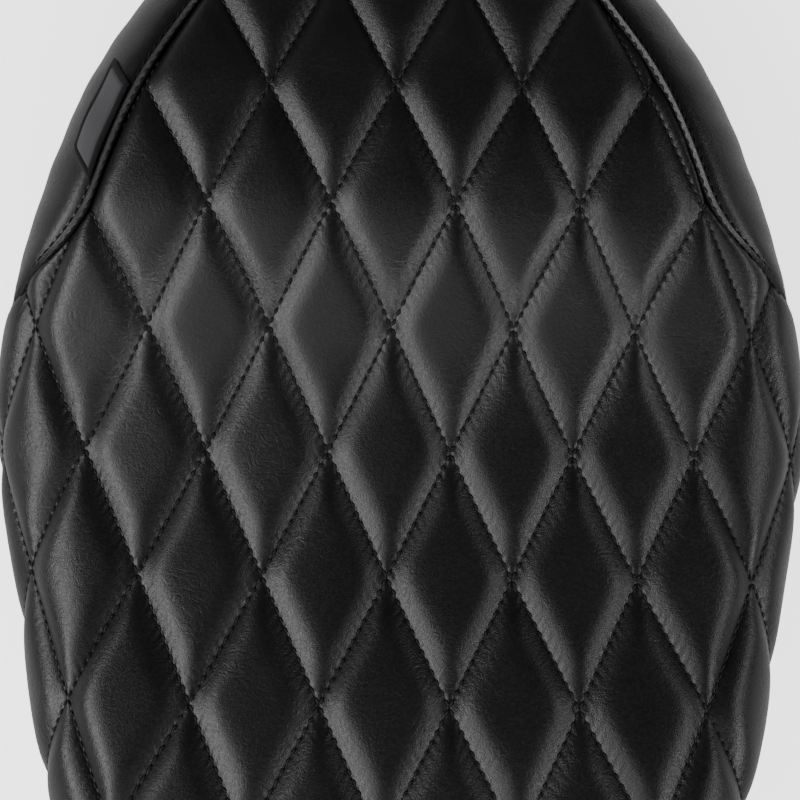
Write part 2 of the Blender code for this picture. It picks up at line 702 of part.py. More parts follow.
def make_bumpers(rubber):
    """Push-in rubber bumpers: a foot below the pan, a neck through it and a bulb above it."""
    top = FLOOR_HEIGHT + STEEL + GAP
    under = FLOOR_HEIGHT - GAP
    profile = (
        (BUMPER_FOOT_RADIUS, 0), (BUMPER_RADIUS, BUMPER_CHAMFER), (BUMPER_RADIUS, under),
        (BUMPER_NECK, under), (BUMPER_NECK, top), (BUMPER_BULB, top),
        (BUMPER_BULB, top + BUMPER_BULB_SHOULDER), (BUMPER_BULB_TIP, top + BUMPER_BULB_HEIGHT),
    )
    right_edge = floor_loop()[: STATIONS // 2 + 1]
    ahead = np.array(BUMPER_PLACES)
    along = HIP_Y + ahead * np.where(ahead > 0, right_edge[-1, 1] - HIP_Y, HIP_Y - right_edge[0, 1])
    reach = np.stack(
        [
            np.interp(along + way, right_edge[:, 1], right_edge[:, 0])
            for way in (-BUMPER_RADIUS, BUMPER_RADIUS)
        ]
    )
    across = reach.min(axis=0) - BUMPER_RADIUS - BUMPER_CLEAR
    places = [
        (side * x, y, word, mark)
        for x, y, word in zip(across, along, ("front", "middle", "rear"))
        for side, mark in ((1, "right"), (-1, "left"))
    ]
    for x, y, word, mark in places:
        turned_body(f"bumper_{word}_{mark}", profile, rubber, (x, y, 0))
    return [(x, y) for x, y, _, _ in places]


def make_rivets(metal):
    """Rivets hold the hem to the rim. Their heads clear the hem's slope where it rises."""
    places = (np.arange(RIVETS) + 0.5) * STATIONS / RIVETS
    ring = reached(RIM_EDGE - RIVET_FROM_EDGE, FOOT)
    ring = np.vstack([ring, ring[:1]])
    spots = np.stack([np.interp(places, np.arange(STATIONS + 1), ring[:, i]) for i in range(3)], axis=1)
    rise = np.abs(lower_edge(spots[:, 1] + RIVET_HEAD) - lower_edge(spots[:, 1] - RIVET_HEAD)) / 2
    holes = []
    for number, ((x, y, foot), slope) in enumerate(zip(spots, rise)):
        head = foot - GAP - slope
        pan_top = foot + COVER + STRIP + 2 * GAP + STEEL
        tail = pan_top + GAP + slope
        turned_body(
            f"rivet_{number + 1:02d}",
            ((RIVET_FACE, head - RIVET_HEAD_HEIGHT), (RIVET_HEAD, head), (RIVET_SHANK, head),
             (RIVET_SHANK, tail), (RIVET_TAIL, tail), (RIVET_TAIL, tail + RIVET_TAIL_HEIGHT)),
            metal, (x, y, 0),
        )
        holes.append(round_hole(x, y, RIVET_SHANK + HOLE_PLAY, head, tail))
    return holes


def main():
    clear_scene()
    quilted = material("quilted black vinyl", (0.012, 0.012, 0.013), 0.42)
    plain = material("plain black vinyl", (0.014, 0.014, 0.015), 0.38)
    backing = material("backing foam", (0.20, 0.20, 0.21), 0.95)
    foam = material("moulded foam", (0.55, 0.50, 0.36), 0.95)
    label = material("woven label", (0.02, 0.02, 0.02), 0.85)
    coated = material("black powder coat", (0.02, 0.02, 0.02), 0.45)
    zinc = material("zinc plate", (0.55, 0.55, 0.53), 0.35, 1.0)
    alloy = material("rivet aluminium", (0.62, 0.62, 0.63), 0.32, 1.0)
    rubber = material("black rubber", (0.02, 0.02, 0.02), 0.75)

    panels, core = make_soft_parts(quilted, plain, backing, foam, label)
    pan = make_pan(coated, rubber)
    bolts = make_brackets(coated)
    make_bolts(bolts, zinc)
    bumpers = make_bumpers(rubber)
    rivet_holes = make_rivets(alloy)

    below, above = FLOOR_HEIGHT - STEEL, FLOOR_HEIGHT + 2 * STEEL
    holes = [round_hole(x, y, BOLT_RADIUS + HOLE_PLAY, below, above) for _, _, x, y, _ in bolts]
    holes += [round_hole(x, y, BUMPER_NECK + HOLE_PLAY, below, above) for x, y in bumpers]
    holes += [round_hole(0, HIP_Y + ahead, VENT_RADIUS, below, above) for ahead in VENT_PLACES]
    cut(pan, uprights("pan_holes", holes + rivet_holes))
    rivet_cutter = uprights("hem_holes", rivet_holes)
    for panel in panels:
        cut(panel, rivet_cutter)
    foam_foot = FLOOR_HEIGHT + STEEL
    pockets = [
        round_hole(x, y, BOLT_HEAD_RADIUS + 2 * HOLE_PLAY, foam_foot, foam_foot + BOLT_HEAD + 4 * GAP)
        for _, _, x, y, _ in bolts
    ]
    pockets += [
        round_hole(x, y, BUMPER_BULB + 2 * HOLE_PLAY, foam_foot, foam_foot + BUMPER_BULB_HEIGHT + 4 * GAP)
        for x, y in bumpers
    ]
    cut(core, uprights("foam_pockets", pockets))


main()
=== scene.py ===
"""The looks of a solo motorcycle seat: quilted cover, nose panels, seams, thread and label, built
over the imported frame, with finishes for the steel and rubber pieces underneath."""

import math

import bpy
import numpy as np
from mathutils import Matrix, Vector


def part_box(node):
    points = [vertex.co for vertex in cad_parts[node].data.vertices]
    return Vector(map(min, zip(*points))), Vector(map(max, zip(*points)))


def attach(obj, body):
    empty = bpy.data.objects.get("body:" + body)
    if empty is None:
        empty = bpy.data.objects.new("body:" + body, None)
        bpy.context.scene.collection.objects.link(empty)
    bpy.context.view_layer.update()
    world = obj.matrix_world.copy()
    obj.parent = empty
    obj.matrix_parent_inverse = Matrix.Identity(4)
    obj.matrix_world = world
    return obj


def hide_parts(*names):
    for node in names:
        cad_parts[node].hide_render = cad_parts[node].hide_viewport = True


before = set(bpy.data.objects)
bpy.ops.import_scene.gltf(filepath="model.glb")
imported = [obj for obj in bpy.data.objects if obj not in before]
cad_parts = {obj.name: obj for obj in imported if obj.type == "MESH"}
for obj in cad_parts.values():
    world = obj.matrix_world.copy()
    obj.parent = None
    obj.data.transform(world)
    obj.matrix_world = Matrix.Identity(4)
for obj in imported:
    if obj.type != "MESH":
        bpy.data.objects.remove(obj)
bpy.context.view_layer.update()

# ==== The skin ==========================================================================================
# The moulded foam under the cover: a dished and crowned top, a rounded shoulder, a side wall that
# leans in, and a curl under the rim of the pan. Every soft piece below is laid on this one skin.

HALF_WIDTH = 0.1585
FRONT_LENGTH = 0.262
REAR_LENGTH = 0.214
SHOULDER_RADIUS = 0.031
STEEPEST = math.radians(98)
CURL_RADIUS = 0.0040
HEM = 0.0190
STATIONS = 1600  # round the edge
PER_SPAN = 150  # outline points between two knots, before the stations are spaced evenly
HOLLOW_HEIGHT = 0.078  # the top, in the middle of the hollow
CROWN = 0.0085  # the top's fall from its middle to the hips
REAR_RISE = 0.040
REAR_RISE_AHEAD = 0.030  # the rise starts this far ahead of the hips
REAR_RUN = 0.270
FRONT_RISE = 0.012
FRONT_RUN = 0.095
NOSE_DROP = 0.030
NOSE_RUN = 0.202
FOOT = 0.003  # the cover's foot beside the hips
TAIL_LIFT = 0.009
TAIL_RUN = 0.130
NOSE_LIFT = 0.008
NOSE_LIFT_RUN = 0.115
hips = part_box("quilted_cover")[0][1] + REAR_LENGTH

# Half of the widest line, nose to tail: share of the length along, share of the half width across.
HALF_OUTLINE = (
    (1.000, 0.000), (0.970, 0.245), (0.890, 0.400), (0.783, 0.512), (0.660, 0.637),
    (0.547, 0.752), (0.369, 0.869), (0.192, 0.957), (0.000, 1.000), (-0.308, 0.930),
    (-0.603, 0.848), (-0.830, 0.705), (-0.955, 0.450), (-1.000, 0.000),
)


def eased(t):
    """0 to 1 as t goes from 0 to 1: ten t cubed, less fifteen t to the fourth, and six t to the fifth."""
    t = np.clip(t, 0, 1)
    return t**3 * (10 - 15 * t + 6 * t**2)


def top_height(x, y):
    """The hollow's height, plus eased rises to the tail and the nose, less the nose's drop and a crown
    that falls with the square of the distance from the middle."""
    ahead = y - hips
    rise = REAR_RISE * eased((REAR_RISE_AHEAD - ahead) / REAR_RUN) + FRONT_RISE * eased(ahead / FRONT_RUN)
    nose = NOSE_DROP * eased((ahead - FRONT_LENGTH + NOSE_RUN) / NOSE_RUN)
    return HOLLOW_HEIGHT + rise - nose - CROWN * (x / HALF_WIDTH) ** 2


def top_normal(x, y):
    """Up, tilted against the top's slope, which is taken over a millimetre each way."""
    step = 0.0005
    across = (top_height(x + step, y) - top_height(x - step, y)) / (2 * step)
    along = (top_height(x, y + step) - top_height(x, y - step)) / (2 * step)
    normal = np.stack([-across, -along, np.ones_like(across)], axis=-1)
    return normal / np.linalg.norm(normal, axis=-1, keepdims=True)


def lower_edge(y):
    """The cover's foot: level beside the hips and eased up at the tail and the nose."""
    ahead = y - hips
    tail = TAIL_LIFT * eased((TAIL_RUN - REAR_LENGTH - ahead) / TAIL_RUN)
    return FOOT + tail + NOSE_LIFT * eased((ahead - FRONT_LENGTH + NOSE_LIFT_RUN) / NOSE_LIFT_RUN)


def closed_spline(knots, per_span):
    """A periodic cubic spline on chord length: the bend at each knot solves the usual three-term rows."""
    after = np.roll(knots, -1, axis=0)
    span = np.linalg.norm(after - knots, axis=1)
    before_span = np.roll(span, 1)
    slope = (after - knots) / span[:, None]
    row = np.arange(len(knots))
    system = np.zeros((len(knots), len(knots)))
    system[row, row] = 2 * (before_span + span)
    system[row, row - 1] = before_span
    system[row, (row + 1) % len(knots)] = span
    bend = np.linalg.solve(system, 6 * (slope - np.roll(slope, 1, axis=0)))
    u = np.linspace(0, 1, per_span, endpoint=False)[None, :, None]
    h = span[:, None, None]
    a, b = (1 - u) * h, u * h
    next_bend = np.roll(bend, -1, axis=0)
    points = (bend[:, None] * a**3 + next_bend[:, None] * b**3) / (6 * h)
    points = points + (knots[:, None] / h - bend[:, None] * h / 6) * a
    points = points + (after[:, None] / h - next_bend[:, None] * h / 6) * b
    return points.reshape(-1, 2)


knots = [
    (across * HALF_WIDTH, hips + along * (FRONT_LENGTH if along > 0 else REAR_LENGTH))
    for along, across in HALF_OUTLINE[::-1]
]
knots = np.array(knots + [(-x, y) for x, y in knots[-2:0:-1]])
outline = closed_spline(knots, PER_SPAN)
outline = np.vstack([outline, outline[:1]])
run = np.concatenate([[0], np.cumsum(np.linalg.norm(np.diff(outline, axis=0), axis=1))])
places = np.linspace(0, run[-1], STATIONS, endpoint=False)
edge = np.stack([np.interp(places, run, outline[:, i]) for i in (0, 1)], axis=1)
tangent = np.roll(edge, -1, axis=0) - np.roll(edge, 1, axis=0)
tangent /= np.linalg.norm(tangent, axis=1)[:, None]
outward = np.stack([tangent[:, 1], -tangent[:, 0]], axis=1)
roll_line = edge - outward * SHOULDER_RADIUS
edge_top = top_height(edge[:, 0], edge[:, 1])
ROLL_LENGTH = SHOULDER_RADIUS * STEEPEST
roll_drop = SHOULDER_RADIUS * (1 - math.cos(STEEPEST))
curl_drop = CURL_RADIUS * (1 + math.cos(STEEPEST))
CURL_LENGTH = CURL_RADIUS * (math.pi - STEEPEST)
wall = (edge_top - lower_edge(edge[:, 1]) - roll_drop - curl_drop) / math.sin(STEEPEST)
skin_end = ROLL_LENGTH + wall + CURL_LENGTH + HEM


def at(values, station):
    """Per-station values read at fractional stations, on straight lines round the closed loop."""
    low = np.floor(station).astype(int)
    part = station - low
    if values.ndim > 1:
        part = part[..., None]
    return values[low % STATIONS] * (1 - part) + values[(low + 1) % STATIONS] * part


def over_edge(station, distance, lift):
    """Points and normals beyond the roll line: an arc of the shoulder's radius, a straight wall, an
    arc of the curl's radius back under, then level, each measured along the skin."""
    out = at(outward, station)
    out = out / np.linalg.norm(out, axis=1)[:, None]
    root = at(roll_line, station)
    side = at(wall, station)
    rolled = np.clip(distance / SHOULDER_RADIUS, 0, STEEPEST)
    down = np.clip(distance - ROLL_LENGTH, 0, side)
    curled = np.clip((distance - ROLL_LENGTH - side) / CURL_RADIUS, 0, math.pi - STEEPEST)
    under = np.clip(distance - ROLL_LENGTH - side - CURL_LENGTH, 0, None)
    angle = rolled + curled
    reach = SHOULDER_RADIUS * np.sin(rolled) + down * math.cos(STEEPEST) - under
    reach = reach + CURL_RADIUS * (np.sin(STEEPEST + curled) - math.sin(STEEPEST))
    drop = SHOULDER_RADIUS * (1 - np.cos(rolled)) + down * math.sin(STEEPEST)
    drop = drop + CURL_RADIUS * (math.cos(STEEPEST) - np.cos(STEEPEST + curled))
    base = root + out * (SHOULDER_RADIUS * np.sin(np.minimum(rolled, math.pi / 2)))[:, None]
    points = np.column_stack([root + out * reach[:, None], top_height(base[:, 0], base[:, 1]) - drop])
    up = top_normal(base[:, 0], base[:, 1])
    slope = -up[:, :2] / up[:, 2:]
    fall = np.sum(slope * out, axis=1) * np.maximum(np.cos(angle), 0) - np.sin(angle)
    cross = slope[:, 1] * out[:, 0] - slope[:, 0] * out[:, 1]
    outwards = np.column_stack([out * np.cos(angle)[:, None], fall])
    sideways = np.column_stack([-out[:, 1], out[:, 0], cross])
    normal = np.cross(outwards, sideways)
    normal /= np.linalg.norm(normal, axis=1)[:, None]
    return points + normal * lift[:, None], normal


def to_roll_line(plan):
    """The nearest station of the roll line to each flat place, and the distance outside it."""
    coarse = roll_line[::4]
    nearest = np.empty(len(plan), int)
    for start in range(0, len(plan), 8192):
        part = slice(start, start + 8192)
        gap = plan[part, None] - coarse[None]
        first = 4 * np.argmin(np.sum(gap * gap, axis=2), axis=1)
        near = (first[:, None] + np.arange(-4, 5)) % STATIONS
        gap = plan[part, None] - roll_line[near]
        pick = np.argmin(np.sum(gap * gap, axis=2), axis=1)
        nearest[part] = near[np.arange(len(pick)), pick]
    spacing = np.linalg.norm(roll_line[(nearest + 1) % STATIONS] - roll_line[nearest - 1], axis=1) / 2
    gap = plan - roll_line[nearest]
    along = np.sum(gap * tangent[nearest], axis=1) / spacing
    station = nearest + np.clip(along, -0.6, 0.6)
    distance = np.sum((plan - at(roll_line, station)) * outward[nearest], axis=1)
    return station, distance


def on_seat(plan, lift, limit=None):
    """Points and normals for flat places: straight up to the top inside the roll line, wrapped over
    the edge outside it, and no further than a limit given per station."""
    station, distance = to_roll_line(plan)
    if limit is not None:
        distance = np.minimum(distance, at(limit, station))
    points, normal = over_edge(station, np.maximum(distance, 0), lift)
    inside = distance <= 0
    x, y = plan[inside, 0], plan[inside, 1]
    normal[inside] = top_normal(x, y)
    points[inside] = np.column_stack([x, y, top_height(x, y)]) + normal[inside] * lift[inside, None]
    return points, normal


# ==== The quilted cover =================================================================================
# Black upholstery vinyl sewn through foam backing in long diamonds, then pulled over the foam. Each
# diamond is a soft pillow with a nearly flat middle; the stitch lines pull down into sharp creases.

DIAMOND_WIDTH = 0.0464
DIAMOND_LENGTH = 0.0938
PATTERN_TURN = math.radians(1.0)  # the pattern was sewn a little askew
PATTERN_SPREAD = 2.6  # pulled wider towards both ends, with the square of the distance, per m2
pattern_middle = np.array([-0.0033, hips + 0.0333])
CREASE = 0.0036  # depth of a stitch line below a pillow
SIDE_TAUT = 0.45  # share of that depth lost down the side
RIM_TAUT = 0.85  # and under the rim, where the cover is pulled flat
RIM_SINK = 0.0004
SLOPE_WIDTH = 0.0070  # from a stitch line up to the flat of a pillow
SLOPE_SOFTNESS = 0.0016  # over which the slope rounds into the flat
PINCH = 0.0003  # the thread pulls a narrow groove this much deeper
PINCH_WIDTH = 0.0008
DOME = 0.0006  # more height in the middle of a diamond
SINK = 0.0026  # the creases lie this much under the skin
SEAM_DIP = 0.3  # share of a crease's depth along the seam
SEAM_DIVE = 0.0016  # and the very edge dives this much deeper into the groove
SEAM_DIVE_WIDTH = 0.0009
CELLS = 30  # mesh cells along a diamond's side
CELL_BUNCHING = 0.12  # pulls the cells towards the stitch lines
LINES = 9  # stitch lines of each family to each side of the middle
line_gap = DIAMOND_WIDTH * DIAMOND_LENGTH / math.hypot(DIAMOND_WIDTH, DIAMOND_LENGTH)
side_length = math.hypot(DIAMOND_WIDTH, DIAMOND_LENGTH) / 2


def pattern_place(a, b):
    """Flat places from line numbers: whole a and whole b are the two families of stitch lines."""
    u = DIAMOND_WIDTH * (a + b) / 2
    v = DIAMOND_LENGTH * (a - b) / 2
    x = u * math.cos(PATTERN_TURN) + v * math.sin(PATTERN_TURN)
    y = v * math.cos(PATTERN_TURN) - u * math.sin(PATTERN_TURN) + pattern_middle[1]
    spread = 1 + PATTERN_SPREAD * (y - hips) ** 2
    return np.stack([x * spread + pattern_middle[0], y], axis=-1)


def pillow(gap):
    """0 at a stitch line and 1 on the flat: one less a softened ramp that ends at the slope's width."""
    left = np.log1p(np.exp((SLOPE_WIDTH - gap) / SLOPE_SOFTNESS)) * SLOPE_SOFTNESS
    return 1 - left / (np.log1p(math.exp(SLOPE_WIDTH / SLOPE_SOFTNESS)) * SLOPE_SOFTNESS)


# The seam leaves the shoulder beside the nose and runs down the side to the hem behind the hips.
SEAM_DOWN = 0.0088
SEAM_LEAVES = 0.100  # ahead of the hips it starts to run down
SEAM_ENDS = -0.036  # and here it meets the hem
seam_share = eased((SEAM_LEAVES - (edge[:, 1] - hips)) / (SEAM_LEAVES - SEAM_ENDS))
seam_reach = SEAM_DOWN + (skin_end - SEAM_DOWN) * seam_share
GROOVE = 0.0017  # the quilted panel ends in the seam's groove, this far inside the seam
seam_plan = roll_line + outward * seam_reach[:, None]
seam_along = np.roll(seam_plan, -1, axis=0) - np.roll(seam_plan, 1, axis=0)
seam_along /= np.linalg.norm(seam_along, axis=1)[:, None]
seam_out = np.stack([seam_along[:, 1], -seam_along[:, 0]], axis=1)
seam_stations = np.flatnonzero(seam_share < 0.97)


def beside_seam(offset):
    """A flat line that runs beside the seam at this distance, outwards positive."""
    return seam_plan[seam_stations] + seam_out[seam_stations] * offset


inner_station, inner_distance = to_roll_line(beside_seam(-GROOVE))
order = np.argsort(inner_station)
quilt_limit = np.interp(np.arange(STATIONS), inner_station[order], inner_distance[order])
outside_seam = np.ones(STATIONS, bool)
outside_seam[int(inner_station.min()) + 1 : int(inner_station.max())] = False
quilt_limit[outside_seam] = skin_end[outside_seam]
near_seam = eased((0.97 - seam_share) / 0.06)


def quilt_lift(a, b, station, distance):
    """Height over the skin: the product of the two families' pillows, with a low dome in each diamond.
    The cover is stretched tighter down the side, so the creases are shallower there, and the quilting
    fades out under the rim. Along the seam the edge dips into the seam's groove."""
    gap_a = np.abs(a - np.round(a)) * line_gap
    gap_b = np.abs(b - np.round(b)) * line_gap
    shape = pillow(gap_a) * pillow(gap_b)
    dome = np.abs(np.sin(math.pi * a) * np.sin(math.pi * b))
    edge_gap = np.maximum(at(quilt_limit, station) - distance, 0)
    row = pillow(edge_gap)
    near = at(near_seam, station)
    row = 1 - SEAM_DIP * (1 - row) * near
    dive = SEAM_DIVE * near * np.exp(-edge_gap / SEAM_DIVE_WIDTH)
    pinch = PINCH * np.exp(-np.minimum(gap_a, gap_b) / PINCH_WIDTH)
    under = eased((distance - ROLL_LENGTH - at(wall, station) + 0.006) / 0.008)
    steep = eased(distance / ROLL_LENGTH)
    depth = CREASE * (1 - SIDE_TAUT * steep) * (1 - RIM_TAUT * under)
    raised = DOME * dome - pinch
    sunk = depth * (1 - shape * row) + RIM_SINK * under + dive
    return (CREASE - SINK) - sunk + raised * (1 - under)


def add_piece(name, points, faces, uv=None):
    """A smooth-shaded mesh object from arrays of points, faces and one uv pair for each point."""
    mesh = bpy.data.meshes.new(name)
    mesh.from_pydata(points.tolist(), [], faces.tolist())
    if uv is not None:
        corner = np.empty(len(mesh.loops), int)
        mesh.loops.foreach_get("vertex_index", corner)
        mesh.uv_layers.new(name="pattern").data.foreach_set("uv", uv[corner].ravel())
    mesh.shade_smooth()
    piece = bpy.data.objects.new(name, mesh)
    bpy.context.scene.collection.objects.link(piece)
    return piece


def grid_faces(number):
    """Quads over a grid of vertex numbers, facing the side from which rows by columns turn left."""
    cells = np.stack([number[:-1, :-1], number[1:, :-1], number[1:, 1:], number[:-1, 1:]], axis=-1)
    return cells.reshape(-1, 4)


step = np.arange(2 * LINES * CELLS + 1) / CELLS - LINES
line = step - CELL_BUNCHING * np.sin(2 * math.pi * step)
a, b = [values.ravel() for values in np.meshgrid(line, line, indexing="ij")]
flat = pattern_place(a, b)
# only places that the cover can reach are worth measuring against the roll line
near = (np.abs(flat[:, 0]) < 0.25) & (flat[:, 1] > hips - 0.32) & (flat[:, 1] < hips + 0.30)
station = np.zeros(len(flat))
distance = np.full(len(flat), 1.0)
station[near], distance[near] = to_roll_line(flat[near])
over = distance - at(quilt_limit, station)
number = np.arange(len(flat)).reshape(len(line), len(line))
cells = grid_faces(number.T)
cells = cells[over[cells].min(axis=1) < -0.0002]
used, cells = np.unique(cells, return_inverse=True)
cells = cells.reshape(-1, 4)
lift = quilt_lift(a[used], b[used], station[used], distance[used])
points, _ = on_seat(flat[used], lift, quilt_limit)
quilt = add_piece("quilted_panel", points, cells, np.column_stack([a[used], b[used]]))


VINYL_THICKNESS = 0.0012


def give_thickness(piece, thickness):
    """A live wall inwards from the surface, closed round its rim."""
    made = piece.modifiers.new("fabric", "SOLIDIFY")
    made.thickness = thickness
    made.offset = -1


def linear(colour):
    """A linear colour from an sRGB hex value: each channel's offset power of 2.4, or a twelfth or so."""
    channels = [int(colour[i : i + 2], 16) / 255 for i in (1, 3, 5)]
    return (*[c / 12.92 if c <= 0.04045 else ((c + 0.055) / 1.055) ** 2.4 for c in channels], 1)


def add(tree, kind, inputs=(), **settings):
    """A shader node with its settings, and its inputs as pairs of a name or number and a value or link."""
    node = tree.nodes.new("ShaderNode" + kind)
    for name, value in settings.items():
        setattr(node, name, value)
    for socket, value in inputs:
        if isinstance(value, bpy.types.NodeSocket):
            tree.links.new(value, node.inputs[socket])
        else:
            node.inputs[socket].default_value = value
    return node


def new_material(name):
    """An empty material with its node tree and its main shader."""
    made = bpy.data.materials.new(name)
    made.use_nodes = True
    return made, made.node_tree, made.node_tree.nodes["Principled BSDF"]


def ramp(tree, value, stops):
    """A colour ramp through (place, hex) stops."""
    node = add(tree, "ValToRGB", [("Fac", value)])
    elements = node.color_ramp.elements
    elements[0].position, elements[0].color = stops[0][0], linear(stops[0][1])
    elements[1].position, elements[1].color = stops[-1][0], linear(stops[-1][1])
    for place, colour in stops[1:-1]:
        elements.new(place).color = linear(colour)
    return node.outputs["Color"]


def vinyl(name, quilted):
    """Coated upholstery vinyl, rolled with a hide grain about a millimetre across: black, with a satin
    sheen that the grain, soft creases in patches and the pulls at the stitches break up."""
    made, tree, shader = new_material(name)
    place = add(tree, "TexCoord").outputs["Object"]
    grain = add(tree, "TexVoronoi", [("Vector", place), ("Scale", 1 / 0.0009)], feature="DISTANCE_TO_EDGE")
    pores = add(tree, "TexNoise", [("Vector", place), ("Scale", 1 / 0.0012), ("Detail", 3.0)])
    stretch = add(tree, "Mapping", [("Vector", place), ("Scale", (1.0, 1.3, 1.6))])
    folds = add(
        tree, "TexNoise",
        [("Vector", stretch.outputs[0]), ("Scale", 1 / 0.0085), ("Detail", 4.0), ("Distortion", 1.6)],
    )
    crinkle = add(tree, "Math", [(0, folds.outputs["Fac"]), (1, 0.5)], operation="SUBTRACT")
    crinkle = add(tree, "Math", [(0, crinkle.outputs[0])], operation="ABSOLUTE")
    crinkle = add(tree, "Math", [(0, crinkle.outputs[0]), (1, 0.09)], operation="MINIMUM")
    patch = add(tree, "TexNoise", [("Vector", place), ("Scale", 1 / 0.030), ("Detail", 2.0)])
    patch_mask = add(tree, "MapRange", [("Value", patch.outputs["Fac"]), (1, 0.42), (2, 0.62)])
    crinkle = add(tree, "Math", [(0, crinkle.outputs[0]), (1, patch_mask.outputs[0])], operation="MULTIPLY")
    height = add(tree, "Math", [(0, grain.outputs["Distance"]), (1, 0.00008)], operation="MULTIPLY")
    height = add(
        tree, "Math", [(0, pores.outputs["Fac"]), (1, 0.00009), (2, height.outputs[0])],
        operation="MULTIPLY_ADD",
    )
    height = add(
        tree, "Math", [(0, crinkle.outputs[0]), (1, 0.00050), (2, height.outputs[0])],
        operation="MULTIPLY_ADD",
    )
    if quilted:
        height = add(tree, "Math", [(0, pucker_height(tree)), (1, height.outputs[0])], operation="ADD")
    bump = add(tree, "Bump", [("Height", height.outputs[0]), ("Distance", 1.0), ("Strength", 1.0)])
    colour = ramp(tree, patch.outputs["Fac"], ((0.3, "#0b0b0c"), (0.7, "#111112")))
    rough = add(tree, "MapRange", [("Value", pores.outputs["Fac"]), (1, 0.3), (2, 0.7), (3, 0.30), (4, 0.42)])
    tree.links.new(colour, shader.inputs["Base Color"])
    tree.links.new(rough.outputs[0], shader.inputs["Roughness"])
    tree.links.new(bump.outputs[0], shader.inputs["Normal"])
    shader.inputs["Specular IOR Level"].default_value = 0.35
    return made


STITCH_PITCH = side_length / 13


def pucker_height(tree):
    """Little pulls square to each stitch line: a cosine at the stitch pitch that dies away over a few
    millimetres, from the line numbers in the pattern uv."""
    pattern = add(tree, "SeparateXYZ", [(0, add(tree, "UVMap", uv_map="pattern").outputs[0])])
    place = add(tree, "TexCoord").outputs["Object"]
    noise = add(tree, "TexNoise", [("Vector", place), ("Scale", 1 / 0.005), ("Detail", 2.0)])
    uneven = add(tree, "MapRange", [("Value", noise.outputs["Fac"]), (1, 0.35), (2, 0.65), (4, 1.6)])
    total = None
    for across, along in ((0, 1), (1, 0)):
        gap = add(tree, "Math", [(0, pattern.outputs[across]), (1, 0.5)], operation="PINGPONG")
        fade = add(tree, "Math", [(0, gap.outputs[0]), (1, -line_gap / 0.0021)], operation="MULTIPLY")
        fade = add(tree, "Math", [(0, fade.outputs[0])], operation="EXPONENT")
        fade = add(tree, "Math", [(0, fade.outputs[0]), (1, uneven.outputs[0])], operation="MULTIPLY")
        turn = 2 * math.pi * side_length / STITCH_PITCH
        wave = add(tree, "Math", [(0, pattern.outputs[along]), (1, turn)], operation="MULTIPLY")
        wave = add(tree, "Math", [(0, wave.outputs[0])], operation="COSINE")
        pull = add(tree, "Math", [(0, wave.outputs[0]), (1, fade.outputs[0])], operation="MULTIPLY")
        pull = add(tree, "Math", [(0, pull.outputs[0]), (1, -0.00007)], operation="MULTIPLY")
        if total is not None:
            pull = add(tree, "Math", [(0, total.outputs[0]), (1, pull.outputs[0])], operation="ADD")
        total = pull
    return total.outputs[0]


give_thickness(quilt, VINYL_THICKNESS)
quilt.data.materials.append(vinyl("quilted upholstery vinyl", True))
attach(quilt, "root")
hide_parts("quilted_cover", "quilt_backing", "foam_core")

# ==== The nose panels ===================================================================================
# Plain vinyl over a thin foam backing, one on each side of the nose. Each is joined to the quilted
# panel by a folded seam, sewn down flat by two rows of stitches with a ridge between them.

ROW_INSIDE = -0.0014
ROW_OUTSIDE = 0.0014
SEAM_SECTION = (  # offset from the seam line, height over the skin
    (-GROOVE, -0.0042), (-0.00165, -0.0028), (ROW_INSIDE, -0.0017), (-0.0010, -0.0011),
    (-0.0006, -0.0007), (-0.0003, -0.0001), (0.0, 0.0002), (0.0003, -0.0001), (0.0007, -0.0007),
    (ROW_OUTSIDE, -0.0010), (0.0019, -0.0007), (0.0027, -0.0002), (0.0045, 0.0002), (0.0070, 0.0003),
)
PANEL_ROWS = 40
PANEL_SWELL = 0.00022  # the plain vinyl is stretched a little unevenly
SWELL_ALONG = 0.21  # radians a station
SWELL_DOWN = 95  # radians a metre
JOIN_DEPTH = 0.0016  # where both panels turn in to their join at the nose
JOIN_WIDTH = 0.0011


def seam_strip(offsets, lifts, kept):
    """Points beside the seam: flat lines at the offsets, each lifted by its own height."""
    flat = np.stack([seam_plan[kept] + seam_out[kept] * offset for offset in offsets])
    lift = np.broadcast_to(np.asarray(lifts)[:, None], flat.shape[:2])
    return flat, lift


def nose_panel(side):
    """The seam's folds, then even rows from them down to the end of the hem, between the nose's
    middle and the place where the seam meets the hem."""
    nose = STATIONS // 2
    kept = seam_stations[(seam_stations <= nose) if side > 0 else (seam_stations >= nose)]
    section = np.array(SEAM_SECTION)
    flat, lift = seam_strip(section[:, 0], section[:, 1], kept)
    station, distance = to_roll_line(flat.reshape(-1, 2))
    station, distance = station.reshape(lift.shape), distance.reshape(lift.shape)
    share = np.linspace(0, 1, PANEL_ROWS + 1)[1:, None]
    ends = at(skin_end, station[-1])
    more = distance[-1] + np.maximum(ends - distance[-1], 0) * share
    station = np.vstack([station, np.broadcast_to(station[-1], more.shape)])
    distance = np.minimum(np.vstack([distance, more]), at(skin_end, station))
    lift = np.vstack([lift, section[-1, 1] * (1 - share) * np.ones_like(more)])
    swell = np.sin(station * SWELL_ALONG) * np.sin(distance * SWELL_DOWN + station * 0.05)
    lift = lift + PANEL_SWELL * swell * eased((distance - distance[0]) / 0.02)
    points, _ = over_edge(station.ravel(), np.maximum(distance, 0).ravel(), lift.ravel())
    points[:, 1] -= JOIN_DEPTH * np.exp(-np.abs(points[:, 0]) / JOIN_WIDTH)
    points[:, 0] = side * np.maximum(side * points[:, 0], 0.0001)
    number = np.arange(len(points)).reshape(station.shape)
    uv = np.column_stack([station.ravel(), distance.ravel() * 1000])
    return add_piece("plain_panel_right" if side > 0 else "plain_panel_left", points, grid_faces(number), uv)


